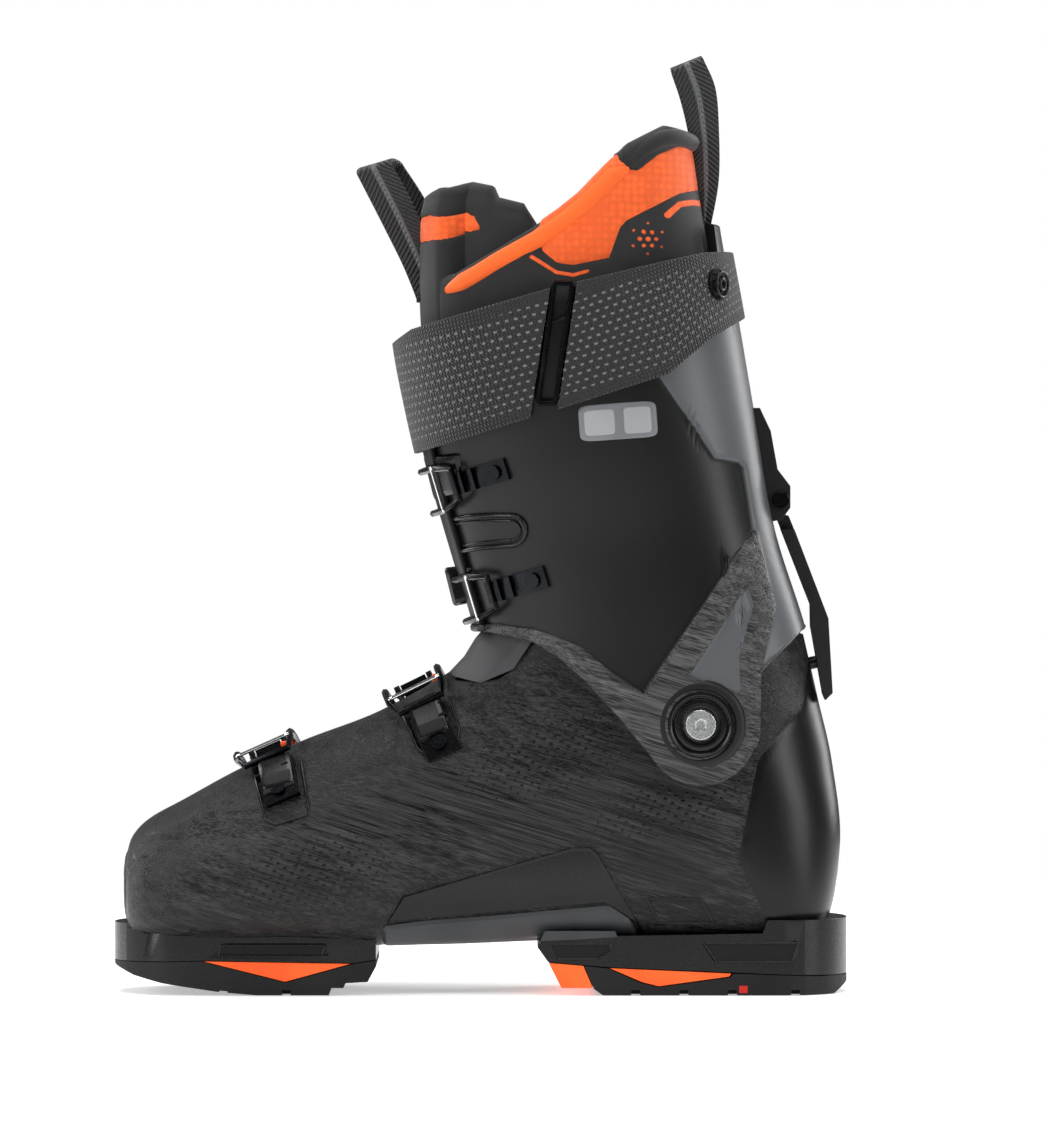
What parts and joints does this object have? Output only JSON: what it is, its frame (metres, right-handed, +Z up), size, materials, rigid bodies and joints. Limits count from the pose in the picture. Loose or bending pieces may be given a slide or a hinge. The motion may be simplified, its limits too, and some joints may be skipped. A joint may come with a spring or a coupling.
{
  "type": "alpine ski boot",
  "caption": "Rigid overlap-shell ski boot with a hinged cuff, padded liner, lever buckles with wire bails, power strap and bolt-on flat soles.",
  "frame": {"origin": "on the ground, midway between the toe and heel ends of the sole, on the sole's mid-line", "axes": "+Z up; the toe points along -X; the inner (medial) side faces -Y and the buckle levers are on the +Y side"},
  "size_m": [0.305, 0.1251, 0.3873],
  "materials": {
    "moulded_shell": "dark grey injected thermoplastic with brushed-looking diagonal mould texture",
    "soft_shell_insert": "softer grey co-injected plastic",
    "moulded_cuff": "satin dark grey injected thermoplastic",
    "boot_board": "firm grey plastic board",
    "liner_padding": "black padded textile with orange mesh and trim",
    "footbed_foam": "cloth covered foam",
    "sole_rubber": "black moulded tread rubber",
    "sole_insert": "orange plastic under the tread",
    "sole_block": "hard black sole plastic",
    "webbing": "woven polyester webbing with grey dashes",
    "steel_hardware": "plated steel wire, rivets and screws",
    "coated_wire": "black trim loop",
    "buckle_alloy": "black anodised alloy"
  },
  "bodies": {
    "shell": {"lower_shell": "moulded_shell", "instep_flap": "soft_shell_insert", "boot_board": "boot_board", "liner_foot": "liner_padding", "footbed": "footbed_foam", "tongue_lower": "liner_padding", "toe_sole": "sole_block", "toe_tread_insert": "sole_insert", "toe_tread": "sole_rubber", "heel_sole": "sole_block", "heel_tread_insert": "sole_insert", "heel_front_pad": "sole_insert", "heel_tread": "sole_rubber", "toe_screw_medial": "steel_hardware", "toe_screw_lateral": "steel_hardware", "heel_screw_medial": "steel_hardware", "heel_screw_lateral": "steel_hardware", "toe_buckle_base": "buckle_alloy", "toe_lever_pin": "steel_hardware", "toe_ladder": "buckle_alloy", "toe_ladder_rivet": "steel_hardware", "instep_buckle_base": "buckle_alloy", "instep_lever_pin": "steel_hardware", "instep_ladder": "buckle_alloy", "instep_ladder_rivet": "steel_hardware", "link_stud": "steel_hardware"},
    "cuff": {"cuff": "moulded_cuff", "liner_shaft": "liner_padding", "tongue_upper": "liner_padding", "lateral_pivot_ring": "buckle_alloy", "medial_pivot_screw": "steel_hardware", "lateral_pivot_screw": "steel_hardware", "power_strap": "webbing", "strap_flap": "webbing", "strap_ring": "steel_hardware", "medial_strap_rivet": "steel_hardware", "lateral_strap_rivet": "steel_hardware", "cuff_loop": "coated_wire", "front_pull_loop": "webbing", "rear_pull_loop": "webbing", "link_bracket": "buckle_alloy", "link_bolt": "steel_hardware", "rear_link": "buckle_alloy", "lower_cuff_buckle_base": "buckle_alloy", "lower_cuff_lever_pin": "steel_hardware", "lower_cuff_ladder": "buckle_alloy", "lower_cuff_ladder_rivet": "steel_hardware", "upper_cuff_buckle_base": "buckle_alloy", "upper_cuff_lever_pin": "steel_hardware", "upper_cuff_ladder": "buckle_alloy", "upper_cuff_ladder_rivet": "steel_hardware"},
    "canting_dial": {"canting_dial": "buckle_alloy"},
    "toe_lever": {"toe_lever": "buckle_alloy"},
    "toe_bail": {"toe_bail": "steel_hardware"},
    "instep_lever": {"instep_lever": "buckle_alloy"},
    "instep_bail": {"instep_bail": "steel_hardware"},
    "lower_cuff_lever": {"lower_cuff_lever": "buckle_alloy"},
    "lower_cuff_bail": {"lower_cuff_bail": "steel_hardware"},
    "upper_cuff_lever": {"upper_cuff_lever": "buckle_alloy"},
    "upper_cuff_bail": {"upper_cuff_bail": "steel_hardware"}
  },
  "joints": [
    {"name": "cuff_flex", "type": "hinge", "parent": "shell", "child": "cuff", "pos_m": [0.0905, 0, 0.112], "axis": [0, -1, 0], "range_deg": [0, 8], "stiffness_Nm_per_rad": 400, "deforming": ["instep_flap"]},
    {"name": "canting_turn", "type": "hinge", "parent": "cuff", "child": "canting_dial", "pos_m": [0.0905, -0.0475, 0.112], "axis": [0, -1, 0], "range_deg": [-90, 90]},
    {"name": "toe_lever_swing", "type": "hinge", "parent": "shell", "child": "toe_lever", "pos_m": [-0.08853, 0.02707, 0.0982], "axis": [0.9135, 0, 0.4067], "range_deg": [0, 95]},
    {"name": "toe_bail_swing", "type": "hinge", "parent": "toe_lever", "child": "toe_bail", "pos_m": [-0.08551, 0.03957, 0.09141], "axis": [0.9135, 0, 0.4067], "range_deg": [-124, 0]},
    {"name": "instep_lever_swing", "type": "hinge", "parent": "shell", "child": "instep_lever", "pos_m": [-0.02738, 0.02302, 0.12577], "axis": [0.8988, 0, 0.4384], "range_deg": [0, 95]},
    {"name": "instep_bail_swing", "type": "hinge", "parent": "instep_lever", "child": "instep_bail", "pos_m": [-0.02398, 0.03572, 0.11881], "axis": [0.8988, 0, 0.4384], "range_deg": [-124, 0]},
    {"name": "lower_cuff_lever_swing", "type": "hinge", "parent": "cuff", "child": "lower_cuff_lever", "pos_m": [-0.00017, 0.02949, 0.16473], "axis": [0.284, 0, -0.9588], "range_deg": [-95, 0]},
    {"name": "lower_cuff_bail_swing", "type": "hinge", "parent": "lower_cuff_lever", "child": "lower_cuff_bail", "pos_m": [0.00934, 0.0397, 0.16754], "axis": [0.284, 0, -0.9588], "range_deg": [0, 124]},
    {"name": "upper_cuff_lever_swing", "type": "hinge", "parent": "cuff", "child": "upper_cuff_lever", "pos_m": [-0.01537, 0.02926, 0.20922], "axis": [-0.284, 0, 0.9588], "range_deg": [0, 95]},
    {"name": "upper_cuff_bail_swing", "type": "hinge", "parent": "upper_cuff_lever", "child": "upper_cuff_bail", "pos_m": [-0.00697, 0.04054, 0.21171], "axis": [-0.284, 0, 0.9588], "range_deg": [-124, 0]}
  ],
  "couplings": [
    {"joint": "toe_bail_swing", "follows": "toe_lever_swing", "ratio": -1.3},
    {"joint": "instep_bail_swing", "follows": "instep_lever_swing", "ratio": -1.3},
    {"joint": "lower_cuff_bail_swing", "follows": "lower_cuff_lever_swing", "ratio": -1.3},
    {"joint": "upper_cuff_bail_swing", "follows": "upper_cuff_lever_swing", "ratio": -1.3}
  ]
}
